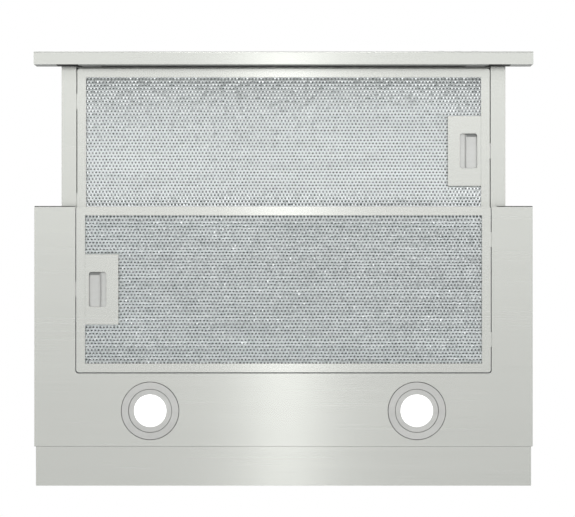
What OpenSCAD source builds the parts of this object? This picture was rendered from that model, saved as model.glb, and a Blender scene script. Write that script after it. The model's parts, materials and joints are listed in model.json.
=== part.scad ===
// Telescopic range hood for a wall cabinet, with its filter drawer pulled out.
// Millimetres, +Z up, +X to the right as seen from the front, +Y toward the wall.
// The origin is on the duct axis, where the collar stands on the top plate.

/* [Overall] */
// Width of the hood, side to side
hood_w = 598; // [560:1:900]
// Depth of the lower housing, front edge to rear edge
housing_d = 288.5; // [280:0.5:340]
// Height of the lower housing
housing_h = 41; // [40:0.5:60]
// Thickness of the sheet metal
sheet = 1; // [0.8:0.1:1.4]
// Distance from the duct's axis back to the rear edge of the housing
duct_to_rear = 130; // [125:1:140]

/* [Motor box] */
// Distance from the hood's side in to the motor box
box_side_inset = 37; // [30:0.5:60]
// Distance from the hood's front edge back to the motor box
box_front_inset = 28.5; // [20:0.5:34]
// Height of the motor box above the lower housing
box_h = 162; // [160:1:220]
// Space left behind the motor box
box_setback = 5; // [3:0.5:10]
// Width of the flanges folded round the motor box
box_flange = 12; // [10:0.5:16]

/* [Drawer] */
// Space for the rails between the drawer and the hood's side
rail_space = 31.4; // [29:0.5:36]
// How far the drawer pulls out
travel = 167; // [120:1:168]
// Height of the drawer's underside above the hood's underside
drawer_lift = 12; // [11.5:0.1:13]
// Width of the sill behind the drawer's filter
sill_w = 12.3; // [8:0.1:14]
// Gap between the drawer's cover and the housing's top sheet
cover_gap = 2; // [1:0.1:3]

/* [Fascia] */
// Depth of the fascia, front to back
fascia_d = 18.1; // [16:0.1:24]
// How far the fascia hangs below the hood's underside
fascia_drop = 6; // [4:0.5:12]
// How far the fascia's top stays below the housing's top
fascia_top_gap = 18; // [10:0.5:19]
// Gap between the fascia's back and the housing when the drawer is shut
closing_gap = 2.4; // [1.5:0.1:3]
// Radius of a push button
button_r = 5; // [3.5:0.1:7]
// Travel of a push button
button_travel = 1; // [0.6:0.1:1.2]
// Distance between two push buttons
button_pitch = 20; // [17:0.5:26]

/* [Filters] */
// Width of the drawer's strip beside its filter
side_strip = 18.95; // [14:0.05:22]
// Thickness of a filter
filter_t = 9; // [8.5:0.1:9.4]
// Width of a filter's frame bars
bar_w = 10.5; // [9:0.1:14]
// Thickness of the frame's folded metal
bar_t = 1.2; // [0.8:0.1:1.5]
// Shadow gap round a filter
filter_gap = 1; // [0.6:0.1:1.4]
// Width of the latch housing
latch_w = 40.1; // [38:0.1:46]
// Length of the latch housing
latch_l = 84.3; // [70:0.1:100]
// Length of the finger slot
finger_slot_l = 41.8; // [30:0.1:56]
// Travel of the filter latch
latch_travel = 5; // [4.6:0.1:5.2]

/* [Lamps] */
// Distance of each lamp from the centre line
lamp_x = 160; // [100:1:210]
// Distance of the lamps from the panel's rear edge
lamp_from_rear = 42.8; // [40:0.1:45]
// Outer radius of a lamp bezel
lamp_r = 35; // [33:0.1:37]
// Distance from the body filter back to a lamp bezel
filter_to_lamp = 11.2; // [9:0.1:30]
// Radius of a lamp's lens
lens_r = 19.2; // [15:0.1:22]

/* [Rear spacer] */
// Depth of the spacer strip between the hood and the wall
spacer_d = 47; // [20:0.5:60]
// Height of the spacer's screw flange
spacer_flange_h = 24; // [20:0.5:30]

/* [Duct] */
// Outer radius of the duct collar
collar_r = 59.75; // [58:0.05:60.5]
// Wall of the duct collar
collar_wall = 2.5; // [2:0.1:3]
// Height of the duct collar
collar_h = 45; // [40:1:70]
// Radius of a flap's hinge pin
flap_pin_r = 1.5; // [1.2:0.1:1.8]

/* [Blower] */
// Radius of the impeller
impeller_r = 54; // [50:0.5:55]
// Width of the impeller
impeller_w = 112; // [100:1:114]
// Number of impeller blades
blade_count = 32; // [24:1:40]
// Height of the fan's axis below the top plate
fan_drop = 84; // [83:0.5:85]
// Distance of the fan's axis behind the duct's axis
fan_back = 42; // [41:0.5:43]
// Wall of the scroll housing
scroll_wall = 2; // [1.6:0.1:2.4]
// Radius of the motor
motor_r = 36; // [30:0.5:38]
// Radius of the motor's shaft
shaft_r = 4; // [3:0.1:5]

/* [Cabinet brackets] */
// Distance from the motor box out to the cabinet's side
bracket_reach = 20; // [15:0.5:30]
// Radius of the screw holes in the cabinet brackets
bracket_hole_r = 2.5; // [2:0.1:3]
// Distance between the two screw holes
bracket_hole_pitch = 64; // [50:1:72]

/* [Cable gland] */
// Radius of the gland's cable hole
gland_bore_r = 3.8; // [3:0.1:4.5]

/* [Hidden] */

$fn = 64;
cut = 1;

// Places of the large pieces
hood_h = housing_h + box_h;
rear_y = duct_to_rear;
front_y = rear_y - housing_d;
box_w = hood_w - 2 * box_side_inset;
box_rear_y = rear_y - box_setback;
box_front_y = front_y + box_front_inset;
box_d = box_rear_y - box_front_y;
box_mid_y = (box_front_y + box_rear_y) / 2;
box_mouth_inset = 15;

spacer_screw_inset = 60;
spacer_screw_xs = [for (side = [-1, 0, 1]) side * (hood_w / 2 - spacer_screw_inset)];

// Filters: as long as the drawer lets them be, as deep as the lamps leave room for
drawer_w = hood_w - 2 * rail_space;
filter_l = drawer_w - 2 * side_strip;
body_filter_front = 0.7;
filter_d = housing_d - lamp_from_rear - lamp_r - filter_to_lamp - body_filter_front;

// Filter opening in the bottom panel, and the seat round it
filter_rear_gap = filter_gap + 0.4;
opening_w = filter_l + 2 * filter_gap;
opening_d = body_filter_front + filter_d + filter_rear_gap;
opening_corner_r = 3.6;
panel_setback = 0.9;
seat_reach = 8;
seat_lap = 6;
seat_z = filter_t + 0.3;

// Drawer, in its own frame: y = 0 meets the housing's front edge when shut
drawer_top = housing_h - sheet - cover_gap;
drawer_wall_x = drawer_w / 2;
front_wall_y = -1.6;
front_wall_lift = 5;
drawer_filter_front = 0.9;
drawer_filter_gap = 1;
drawer_ledge_x = filter_l / 2 + drawer_filter_gap;
shelf_w = 24;
sill_y = drawer_filter_front + filter_d + drawer_filter_gap;
drawer_d = drawer_filter_front + filter_d + sill_w;

// Rails
wall_in_x = hood_w / 2 - sheet;
rail_t = 1.5;
rail_gap = 9.5;
rail_depth = rail_space - sheet - rail_gap;
rail_start_y = sheet + 1;
rail_end_y = housing_d - sheet - 12;
rail_mid_z = (drawer_lift + drawer_top) / 2 - 1;
rail_half_h = 12;
rail_mouth_half = 6.5;
rail_inner_half = rail_half_h - rail_t;
moving_rail_start = travel + 4;
moving_rail_l = rail_end_y - 6.5 - moving_rail_start;
rail_web_half = 1.2;
rail_bar_half = 8;
rail_bar_t = 2;
rail_bar_x = wall_in_x - rail_depth + rail_t + 3.5;
glide_run = 0.3;
glide_l = 24;

// Fascia
fascia_top = housing_h - fascia_top_gap;
fascia_bottom = -fascia_drop;
fascia_h = fascia_top - fascia_bottom;
fascia_bend_r = 2;
fascia_back = -closing_gap;
carrier_t = 3.1;
carrier_front = fascia_back - carrier_t;
carrier_half_w = hood_w / 2 - sheet - 0.3;
rib_low = drawer_lift + front_wall_lift;
fascia_screw_r = 1.3;
fascia_screw_l = front_wall_y + sheet - carrier_front;
fascia_bracket_x = drawer_wall_x - 36.4;
fascia_bracket_w = 22.8;
fascia_bracket_foot = drawer_lift - 3;
fascia_bracket_top = drawer_top - 8;
carrier_recess = 2.1;
buffer_w = 26;
buffer_t = 0.8;
buffer_outer_x = drawer_wall_x + 4.4;
button_row_x = 170;
button_z = (fascia_bottom + fascia_top) / 2;
button_stand_out = 1.2;
switch_t = 5.3;
switch_margin = 12;
switch_half_h = 9;
switch_front = carrier_front - switch_t;

// Sensor that tells whether the drawer is shut
sensor_x = drawer_wall_x - 18.5;

// Latch, measured inward from the filter's end
latch_in = bar_w;
slot_inset = 4.7;
finger_slot_w = 20.7;
slot_near = latch_in + slot_inset;
slot_far = slot_near + finger_slot_w;
lip_t = 1.2;
lip_clear = 1.7;
lip_x = slot_far - latch_travel - lip_clear - lip_t;
latch_wall = 1.2;
slide_floor_z = 4;
slide_t = 1.2;
slide_lap = 8;
slide_end_x = lip_x + lip_t + slide_lap - 0.2;
tongue_z = sheet + 0.2;
tongue_t = 1.2;
tongue_half = 9;
tongue_reach = 4.5;

// Lamps
lamp_y = housing_d - lamp_from_rear;
lamp_barrel_r = lamp_r - 4.5;
lamp_step_r = lens_r + 7;
lamp_drop = 1.2;

// Duct collar and flaps
collar_in_r = collar_r - collar_wall;
flap_seat_h = 4.6;
flap_t = 1.6;
flap_gap = 0.3;
flap_axis_y = 4;
flap_axis_z = flap_seat_h + flap_gap + flap_t + 0.5;
flap_r = collar_in_r - 0.65;
collar_flange_t = 2;
collar_flange_r = collar_r + 16;
collar_screw_r = collar_r + 8;

// Scroll, in the plane square to the fan's axis
outlet_rear = 52;
outlet_front = -52;
scroll_half_w = impeller_w / 2 + 6;
scroll_start = impeller_r + 4;
scroll_growth = fan_back - outlet_front - scroll_start;
tongue_angle = acos((outlet_rear - fan_back) / scroll_start);
scroll_flange_t = 2;
inlet_r = 44;
motor_screw_r = inlet_r + 7;
rubber_t = 3;
bracket_plate_t = 2;
motor_boss_r = 26;
motor_rear_x = scroll_half_w + scroll_wall + rubber_t;
motor_front_x = 16;
hub_half = 10;

// Cabinet brackets
bracket_l = bracket_hole_pitch + 24;
bracket_t = 1.5;
bracket_mid_z = -box_h / 2;
bracket_leg = 34;

// Electronics box, hung under the top plate
ebox_w = 96;
ebox_d = 76;
ebox_h = 45;
ebox_wall = 2;
ebox_side_gap = 4;
ebox_rear_gap = 1;
ebox_x = box_w / 2 - box_flange - ebox_side_gap - ebox_w;
ebox_y = box_rear_y - box_flange - ebox_rear_gap - ebox_d;
board_z = -sheet - ebox_h;
board_t = 1.6;
board_w = 52;
board_d = 38;
board_inset = 6;
gland_x = ebox_x + 50;
gland_y = ebox_y + 58;
gland_r = gland_bore_r + 4.2;

steel = "#d6d8d3";
zinc = "#b4b8ba";
dark_grey = "#3c3f42";
plastic_white = "#e9e9e4";
copper_green = "#2f6f4a";

// Lower housing frame: y from the front edge, z from the underside
module from_below() {
    translate([0, front_y, -hood_h]) children();
}

// Drawer frame: as the lower housing frame, moved out by the travel
module pulled_out() {
    translate([0, -travel, 0]) from_below() children();
}

// Both sides of the hood, made from the right-hand side
module both_sides() {
    children();
    mirror([1, 0, 0]) children();
}

// Block given by its lowest corner and its highest corner
module block(low, high) {
    translate(low) cube(high - low);
}

// Rectangle with round corners, centred in x, standing on y = 0
module round_rect(w, d, r) {
    translate([-w / 2 + r, 0]) square([w - 2 * r, d]);
    translate([-w / 2, r]) square([w, d - 2 * r]);
    for (x = [-w / 2 + r, w / 2 - r])
        for (y = [r, d - r])
            translate([x, y]) circle(r, $fn = 32);
}

// Pan-head screw along -Z, its head standing on z = 0
module screw(shank_r, shank_l) {
    head_r = shank_r * 2;
    head_h = shank_r * 1.2;
    recess_w = shank_r * 0.45;
    recess_l = shank_r * 2.2;
    translate([0, 0, -shank_l]) cylinder(r = shank_r, h = shank_l, $fn = 24);
    difference() {
        cylinder(r1 = head_r, r2 = head_r * 0.8, h = head_h, $fn = 32);
        for (turn = [0, 90])
            rotate([0, 0, turn])
                translate([-recess_l / 2, -recess_w / 2, head_h * 0.45]) cube([recess_l, recess_w, head_h]);
    }
}

// Filter frame: origin at the middle of the filter's underside, latch at -x
module body_filter_place() {
    from_below() translate([0, body_filter_front + filter_d / 2, 0]) children();
}

module drawer_filter_place() {
    pulled_out()
        translate([0, drawer_filter_front + filter_d / 2, drawer_lift])
            rotate([0, 0, 180])
                children();
}

// Lower housing: top sheet, three walls and the two front stubs
module lower_housing() {
    color(zinc) from_below() difference() {
        block([-hood_w / 2, 0, sheet], [hood_w / 2, housing_d, housing_h]);
        block([-wall_in_x, sheet, sheet - cut], [wall_in_x, housing_d - sheet, housing_h - sheet]);
        block([-drawer_wall_x - 2, -cut, sheet - cut], [drawer_wall_x + 2, sheet + cut, drawer_top + 1]);
        translate([0, box_front_y - front_y + box_mouth_inset, housing_h - sheet - cut])
            linear_extrude(sheet + 2 * cut)
                round_rect(box_w - 2 * box_mouth_inset, box_d - 2 * box_mouth_inset, 6);
        for (x = spacer_screw_xs)
            translate([x, housing_d - sheet - cut, spacer_flange_h / 2])
                rotate([-90, 0, 0]) cylinder(r = 2, h = sheet + 2 * cut, $fn = 24);
    }
}

// Bottom panel: U-shaped round the body filter, with two lamp holes
module bottom_panel() {
    color(steel) from_below() difference() {
        block([-hood_w / 2, panel_setback, 0], [hood_w / 2, housing_d, sheet]);
        translate([0, 0, -cut]) linear_extrude(sheet + 2 * cut) {
            translate([0, -2 * opening_corner_r])
                round_rect(opening_w, opening_d + 2 * opening_corner_r, opening_corner_r);
        }
        for (x = [-lamp_x, lamp_x])
            translate([x, lamp_y, -cut]) cylinder(r = lamp_barrel_r + 0.3, h = sheet + 2 * cut);
    }
}

// Seat: three Z-shaped strips that hold the filter down at its rim
module filter_seat() {
    web_x = opening_w / 2 + seat_reach;
    web_y = opening_d + seat_reach;
    foot = lamp_y - lamp_barrel_r - 0.5 - web_y;
    color(zinc) from_below() difference() {
        union() {
            block([-web_x - sheet, sheet + 2, sheet], [web_x + sheet, web_y + sheet, seat_z + sheet]);
            block([-web_x - foot, sheet + 2, sheet], [web_x + foot, web_y + foot, 2 * sheet]);
        }
        block([-web_x, 0, sheet - cut], [web_x, web_y, seat_z]);
        block(
            [-opening_w / 2 + seat_lap, 0, 0],
            [opening_w / 2 - seat_lap, opening_d - seat_lap, seat_z + 2 * sheet]
        );
    }
}

// Rear spacer: an angled strip that closes the gap to the wall
module rear_spacer() {
    spacer_w = hood_w - 4;
    rear_lip = 10;
    color(steel) from_below() difference() {
        block([-spacer_w / 2, housing_d, 0], [spacer_w / 2, housing_d + spacer_d, spacer_flange_h]);
        block(
            [-spacer_w / 2 - cut, housing_d + sheet, sheet],
            [spacer_w / 2 + cut, housing_d + spacer_d - sheet, spacer_flange_h + cut]
        );
        block(
            [-spacer_w / 2 - cut, housing_d + spacer_d - sheet - cut, rear_lip],
            [spacer_w / 2 + cut, housing_d + spacer_d + cut, spacer_flange_h + cut]
        );
        for (x = spacer_screw_xs)
            translate([x, housing_d - cut, spacer_flange_h / 2])
                rotate([-90, 0, 0]) cylinder(r = 2, h = sheet + 2 * cut, $fn = 24);
    }
}

// Screws of the housing: spacer, top plate, cabinet brackets and duct collar
module housing_screws() {
    color("#8f9396") {
        from_below()
            for (x = spacer_screw_xs)
                translate([x, housing_d + sheet, spacer_flange_h / 2])
                    rotate([-90, 0, 0]) screw(1.9, 8);
        top_screw_spots() screw(1.8, 8);
        both_sides() bracket_screw_spots() translate([0, 0, bracket_t]) screw(1.9, 7);
        collar_screw_spots() translate([0, 0, collar_flange_t]) screw(1.5, 6);
    }
}

// Motor box: four walls, a flange out at the foot and one in at the top
module motor_box() {
    foot_z = -box_h;
    color(zinc) difference() {
        union() {
            block([-box_w / 2, box_front_y, foot_z], [box_w / 2, box_rear_y, -sheet]);
            block(
                [-box_w / 2 - box_flange, box_front_y - box_flange, foot_z],
                [box_w / 2 + box_flange, min(box_rear_y + box_flange, rear_y), foot_z + sheet]
            );
        }
        block(
            [-box_w / 2 + sheet, box_front_y + sheet, foot_z - cut],
            [box_w / 2 - sheet, box_rear_y - sheet, -2 * sheet]
        );
        block(
            [-box_w / 2 + box_flange, box_front_y + box_flange, -2 * sheet - cut],
            [box_w / 2 - box_flange, box_rear_y - box_flange, cut]
        );
        top_screw_spots() translate([0, 0, -2 * sheet - cut])
            cylinder(r = 1.9, h = sheet + 2 * cut, $fn = 24);
        both_sides() bracket_screw_spots() translate([0, 0, -2 * sheet])
            cylinder(r = 2, h = 4 * sheet, $fn = 24);
    }
}

// Six screws round the top plate
module top_screw_spots() {
    for (x = [-1, 0, 1])
        for (y = [box_front_y + box_flange / 2, box_rear_y - box_flange / 2])
            translate([x * (box_w / 2 - box_flange / 2), y, 0]) children();
}

// Two screws that hold the right-hand bracket on the motor box, along -X
module bracket_screw_spots() {
    for (y = [-1, 1])
        translate([box_w / 2, box_mid_y + y * bracket_hole_pitch / 2, bracket_mid_z - bracket_leg / 2])
            rotate([0, 90, 0]) children();
}

// Top plate, with the duct hole and the gland hole
module top_plate() {
    color(zinc) difference() {
        block([-box_w / 2, box_front_y, -sheet], [box_w / 2, box_rear_y, 0]);
        translate([0, 0, -sheet - cut]) cylinder(r = collar_in_r, h = sheet + 2 * cut, $fn = 96);
        top_screw_spots() translate([0, 0, -sheet - cut]) cylinder(r = 1.9, h = sheet + 2 * cut, $fn = 24);
        collar_screw_spots() translate([0, 0, -sheet - cut])
            cylinder(r = 1.6, h = sheet + 2 * cut, $fn = 24);
        both_sides() scroll_screw_spots()
            translate([0, 0, -sheet - cut]) cylinder(r = 1.6, h = sheet + 2 * cut, $fn = 24);
        translate([gland_x, gland_y, -sheet - cut]) cylinder(r = gland_r + 0.1, h = sheet + 2 * cut);
    }
}

// Cabinet bracket: a Z-shaped strip from the motor box out to the cabinet's side
module right_bracket_shape() {
    in_x = box_w / 2;
    out_x = in_x + bracket_reach;
    difference() {
        translate([0, box_mid_y + bracket_l / 2, bracket_mid_z])
            rotate([90, 0, 0]) linear_extrude(bracket_l) polygon([
                [in_x, -bracket_leg],
                [in_x + bracket_t, -bracket_leg],
                [in_x + bracket_t, -bracket_t],
                [out_x, -bracket_t],
                [out_x, bracket_leg],
                [out_x - bracket_t, bracket_leg],
                [out_x - bracket_t, 0],
                [in_x, 0]
            ]);
        bracket_screw_spots() translate([0, 0, -cut]) cylinder(r = 2, h = bracket_t + 2 * cut, $fn = 24);
        for (y = [-1, 1])
            translate([
                out_x - bracket_t - cut,
                box_mid_y + y * bracket_hole_pitch / 2,
                bracket_mid_z + bracket_leg / 2
            ])
                rotate([0, 90, 0]) cylinder(r = bracket_hole_r, h = bracket_t + 2 * cut, $fn = 32);
    }
}

module right_cabinet_bracket() {
    color(zinc) right_bracket_shape();
}

module left_cabinet_bracket() {
    color(zinc) mirror([1, 0, 0]) right_bracket_shape();
}

// Four screws round the duct collar
module collar_screw_spots() {
    for (turn = [45 : 90 : 315])
        rotate([0, 0, turn]) translate([collar_screw_r, 0, 0]) children();
}

// Duct collar: flange, tube, flap seat and the bar between the flaps
module duct_collar() {
    bar_half = 1.3;
    bar_h = flap_axis_z - 1;
    color(dark_grey) difference() {
        union() {
            rotate_extrude($fn = 96) polygon([
                [collar_in_r - 5, 0],
                [collar_flange_r, 0],
                [collar_flange_r, collar_flange_t],
                [collar_r, collar_flange_t],
                [collar_r, collar_h - 1.5],
                [collar_r - 1, collar_h],
                [collar_in_r, collar_h],
                [collar_in_r, flap_seat_h],
                [collar_in_r - 5, flap_seat_h]
            ]);
            block([-collar_in_r + 2, -bar_half, 0], [collar_in_r - 2, bar_half, flap_seat_h]);
            block([-collar_in_r + 8, -bar_half, 0], [collar_in_r - 8, bar_half, bar_h]);
        }
        for (y = [-flap_axis_y, flap_axis_y])
            translate([-collar_r - cut, y, flap_axis_z])
                rotate([0, 90, 0]) cylinder(r = flap_pin_r + 0.05, h = 2 * collar_r + 2 * cut, $fn = 32);
        collar_screw_spots() translate([0, 0, -cut])
            cylinder(r = 1.7, h = collar_flange_t + 2 * cut, $fn = 24);
    }
}

// Rear flap: half a disc on a sleeve, with a pin into the collar at each end
module flap_shape() {
    sleeve_r = flap_pin_r + 0.7;
    sleeve_half = sqrt(pow(flap_r, 2) - pow(flap_axis_y + sleeve_r, 2));
    plate_z = flap_axis_z - 0.5 - flap_t;
    difference() {
        union() {
            translate([0, 0, plate_z]) linear_extrude(flap_t) intersection() {
                circle(flap_r, $fn = 96);
                translate([-flap_r, flap_axis_y]) square([2 * flap_r, flap_r]);
            }
            translate([-sleeve_half, flap_axis_y, flap_axis_z])
                rotate([0, 90, 0]) cylinder(r = sleeve_r, h = 2 * sleeve_half, $fn = 32);
            translate([-collar_r + 1, flap_axis_y, flap_axis_z])
                rotate([0, 90, 0]) cylinder(r = flap_pin_r, h = 2 * collar_r - 2, $fn = 32);
        }
        block([-flap_r, 0, 0], [flap_r, flap_r, flap_seat_h + flap_gap]);
    }
}

module rear_flap() {
    color("#55585b") flap_shape();
}

module front_flap() {
    color("#55585b") mirror([0, 1, 0]) flap_shape();
}

// Scroll outline: the radius grows from the tongue round to the outlet
function scroll_radius(share, extra) = scroll_start + scroll_growth * pow(share, 2) + extra;
function scroll_outline(extra) = concat(
    [for (step = [0 : 48])
        let (share = step / 48)
        let (angle = tongue_angle - share * (180 + tongue_angle))
        [
            fan_back + scroll_radius(share, extra) * cos(angle),
            -fan_drop + scroll_radius(share, extra) * sin(angle)
        ]],
    [
        [outlet_front - extra, -sheet],
        [outlet_rear + extra, -sheet]
    ]
);

// Extrudes an outline drawn in the y-z plane from one x to another
module across(from_x, to_x) {
    translate([from_x, 0, 0])
        rotate([90, 0, 90]) linear_extrude(to_x - from_x) children();
}

// The fan's axis, along +X
module on_fan_axis(x) {
    translate([x, fan_back, -fan_drop]) rotate([0, 90, 0]) children();
}

// Two screws that hold the right-hand half's flange under the top plate
module scroll_screw_spots() {
    for (y = [outlet_front - 6, outlet_rear + 6])
        translate([40, y, 0]) children();
}

// Right-hand half of the scroll, with its outlet flange and inlet bell
module scroll_half() {
    flange_lap = 12;
    outer_x = scroll_half_w + scroll_wall;
    bell_r = 4;
    difference() {
        union() {
            across(0, outer_x) polygon(scroll_outline(scroll_wall));
            block(
                [0, outlet_front - flange_lap, -sheet - scroll_flange_t],
                [outer_x, outlet_rear + flange_lap, -sheet]
            );
            on_fan_axis(scroll_half_w - bell_r) cylinder(r = inlet_r + scroll_wall, h = bell_r, $fn = 96);
        }
        difference() {
            across(-cut, scroll_half_w) polygon(scroll_outline(0));
            on_fan_axis(scroll_half_w - bell_r)
                cylinder(r = inlet_r + scroll_wall, h = bell_r + cut, $fn = 96);
        }
        block([-cut, outlet_front, -sheet - cut], [scroll_half_w, outlet_rear, cut]);
        on_fan_axis(scroll_half_w - 2 * bell_r) cylinder(r = inlet_r, h = 3 * bell_r, $fn = 96);
        scroll_screw_spots() translate([0, 0, -sheet - scroll_flange_t - cut])
            cylinder(r = 1.7, h = scroll_flange_t + 2 * cut, $fn = 24);
        motor_screw_spots() translate([0, 0, -scroll_wall - cut])
            cylinder(r = 1.6, h = scroll_wall + 2 * cut, $fn = 24);
    }
}

module right_scroll() {
    color("#4a4e52") scroll_half();
}

module left_scroll() {
    color("#4a4e52") mirror([1, 0, 0]) scroll_half();
}

// Screws of the blower: four up into the top plate, three through the motor bracket
module blower_screws() {
    motor_screw_l = rubber_t + bracket_plate_t + scroll_wall + 1;
    color("#8f9396") {
        both_sides() scroll_screw_spots()
            translate([0, 0, -sheet - scroll_flange_t]) mirror([0, 0, 1]) screw(1.5, scroll_flange_t + sheet);
        motor_screw_spots()
            translate([0, 0, rubber_t + bracket_plate_t]) screw(1.5, motor_screw_l);
    }
}

// Rings of wire on three spokes over the left-hand inlet
module left_inlet_grille() {
    grille_t = 2;
    ring_w = 1.6;
    spoke_inset = 0.3;
    color(dark_grey) mirror([1, 0, 0]) on_fan_axis(scroll_half_w + scroll_wall) {
        for (r = [10 : 9 : inlet_r])
            rotate_extrude($fn = 64) translate([r, 0]) square([ring_w, grille_t]);
        rotate_extrude($fn = 96) translate([inlet_r + 2, 0]) square([6, grille_t]);
        for (turn = [0, 120, 240])
            rotate([0, 0, turn])
                block([10.8, -1.5, spoke_inset], [inlet_r + 5, 1.5, grille_t - spoke_inset]);
    }
}

// Three screws that hold the motor bracket on the right-hand scroll wall
module motor_screw_spots() {
    on_fan_axis(scroll_half_w + scroll_wall)
        for (turn = [60, 180, 300])
            rotate([0, 0, turn]) translate([motor_screw_r, 0, 0]) children();
}

module motor_rubber_mounts() {
    color("#26282a") motor_screw_spots() difference() {
        cylinder(r = 4.5, h = rubber_t, $fn = 32);
        translate([0, 0, -cut]) cylinder(r = 1.8, h = rubber_t + 2 * cut, $fn = 24);
    }
}

// Motor bracket: a boss behind the motor and three arms out to the rubbers
module motor_bracket() {
    color(zinc) difference() {
        on_fan_axis(motor_rear_x) {
            cylinder(r = motor_boss_r, h = bracket_plate_t);
            for (turn = [60, 180, 300])
                rotate([0, 0, turn]) {
                    block([0, -5.5, 0], [motor_screw_r, 5.5, bracket_plate_t]);
                    translate([motor_screw_r, 0, 0]) cylinder(r = 5.5, h = bracket_plate_t, $fn = 32);
                }
        }
        motor_screw_spots() translate([0, 0, rubber_t - cut])
            cylinder(r = 1.8, h = bracket_plate_t + 2 * cut, $fn = 24);
    }
}

// Motor: end bells and winding body, bored for its shaft
module motor() {
    body_l = motor_rear_x - motor_front_x;
    color("#a3a6a8") on_fan_axis(motor_front_x) rotate_extrude($fn = 96) polygon([
        [shaft_r + 0.05, 0],
        [12, 0],
        [12, 4],
        [motor_r - 6, 4],
        [motor_r, 10],
        [motor_r, body_l - 14],
        [motor_r - 8, body_l - 6],
        [motor_boss_r - 2, body_l],
        [shaft_r + 0.05, body_l]
    ]);
}

module motor_shaft() {
    end_play = 4;
    color("#c9ccce") on_fan_axis(-hub_half - end_play)
        cylinder(r = shaft_r, h = motor_rear_x - 2 + hub_half + end_play, $fn = 48);
}

// Outline of one blade, curved forward from the inner to the outer radius
function blade_point(share, side) =
    let (r = impeller_r - 11 + share * 10)
    let (angle = 14 * pow(share, 1.6) + side * 0.55)
    [r * cos(angle), r * sin(angle)];

module impeller() {
    blade_steps = 5;
    ring_t = 2.5;
    ring_w = 12;
    blade_inset = 0.5;
    blade = concat(
        [for (step = [0 : blade_steps]) blade_point(step / blade_steps, -1)],
        [for (step = [blade_steps : -1 : 0]) blade_point(step / blade_steps, 1)]
    );
    color("#2f3235") on_fan_axis(-impeller_w / 2) {
        for (z = [0, impeller_w - ring_t])
            translate([0, 0, z]) rotate_extrude($fn = 96)
                translate([impeller_r - ring_w, 0]) square([ring_w, ring_t]);
        translate([0, 0, blade_inset]) linear_extrude(impeller_w - 2 * blade_inset)
            for (index = [0 : blade_count - 1])
                rotate(index * 360 / blade_count) polygon(blade);
        translate([0, 0, impeller_w / 2]) rotate_extrude($fn = 96) polygon([
            [shaft_r, -hub_half],
            [shaft_r + 8, -hub_half],
            [shaft_r + 8, -ring_t / 2],
            [impeller_r, -ring_t / 2],
            [impeller_r, ring_t / 2],
            [shaft_r + 8, ring_t / 2],
            [shaft_r + 8, hub_half],
            [shaft_r, hub_half]
        ]);
    }
}

// Electronics box: open at the bottom, where its lid closes it
module electronics_box() {
    color(plastic_white) difference() {
        block([ebox_x, ebox_y, -sheet - ebox_h], [ebox_x + ebox_w, ebox_y + ebox_d, -sheet]);
        block(
            [ebox_x + ebox_wall, ebox_y + ebox_wall, -sheet - ebox_h - cut],
            [ebox_x + ebox_w - ebox_wall, ebox_y + ebox_d - ebox_wall, -sheet - ebox_wall]
        );
        translate([gland_x, gland_y, -sheet - ebox_wall - cut])
            cylinder(r = gland_r + 0.1, h = ebox_wall + 2 * cut);
    }
}

module electronics_lid() {
    lid_t = 2;
    lid_z = -sheet - ebox_h;
    color(plastic_white) difference() {
        union() {
            block([ebox_x, ebox_y, lid_z - lid_t], [ebox_x + ebox_w, ebox_y + ebox_d, lid_z]);
            block(
                [ebox_x + ebox_wall + 0.3, ebox_y + ebox_wall + 0.3, lid_z],
                [ebox_x + ebox_w - ebox_wall - 0.3, ebox_y + ebox_d - ebox_wall - 0.3, lid_z + 3]
            );
        }
        block(
            [ebox_x + 2 * ebox_wall, ebox_y + 2 * ebox_wall, lid_z],
            [ebox_x + ebox_w - 2 * ebox_wall, ebox_y + ebox_d - 2 * ebox_wall, lid_z + 3 + cut]
        );
    }
}

// The board lies on the lid, beside the heavier parts
module control_board() {
    color(copper_green) union() {
        translate([ebox_x + board_inset, ebox_y + board_inset, board_z]) cube([board_w, board_d, board_t]);
        for (spot = [[12, 14, 9], [26, 14, 12], [40, 18, 7]])
            translate([ebox_x + spot[0], ebox_y + spot[1], board_z + board_t])
                block([0, 0, 0], [10, 14, spot[2]]);
    }
}

module capacitor() {
    cap_r = 13;
    color("#d9d9d2") translate([ebox_x + 78, ebox_y + 22, board_z]) {
        cylinder(r = cap_r, h = 32, $fn = 64);
        for (x = [-4, 4])
            translate([x - 0.4, -2, 32]) cube([0.8, 4, 5]);
    }
}

module terminal_block() {
    color("#e4e0c8") translate([ebox_x + 64, ebox_y + 50, board_z]) difference() {
        cube([26, 18, 14]);
        for (index = [0 : 2])
            translate([5 + index * 8, 9, 6]) cylinder(r = 2.2, h = 14, $fn = 24);
    }
}

module led_driver() {
    color("#f0f0ec") block([ebox_x + 6, ebox_y + 50, board_z], [ebox_x + 40, ebox_y + 70, board_z + 18]);
}

// Cable gland: flange above the plate, thread through it and a nut below
module cable_gland() {
    nut_t = 4;
    color("#33363a") translate([gland_x, gland_y, 0]) difference() {
        union() {
            cylinder(r = gland_r + 3, h = 3, $fn = 48);
            cylinder(r = gland_bore_r + 2.6, h = 9, $fn = 48);
            translate([0, 0, -sheet - ebox_wall - nut_t])
                cylinder(r = gland_r, h = sheet + ebox_wall + nut_t, $fn = 48);
            translate([0, 0, -sheet - ebox_wall - nut_t]) cylinder(r = gland_r + 3.5, h = nut_t, $fn = 6);
        }
        translate([0, 0, -sheet - ebox_wall - nut_t - cut])
            cylinder(r = gland_bore_r, h = 9 + sheet + ebox_wall + nut_t + 2 * cut, $fn = 48);
    }
}

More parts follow.
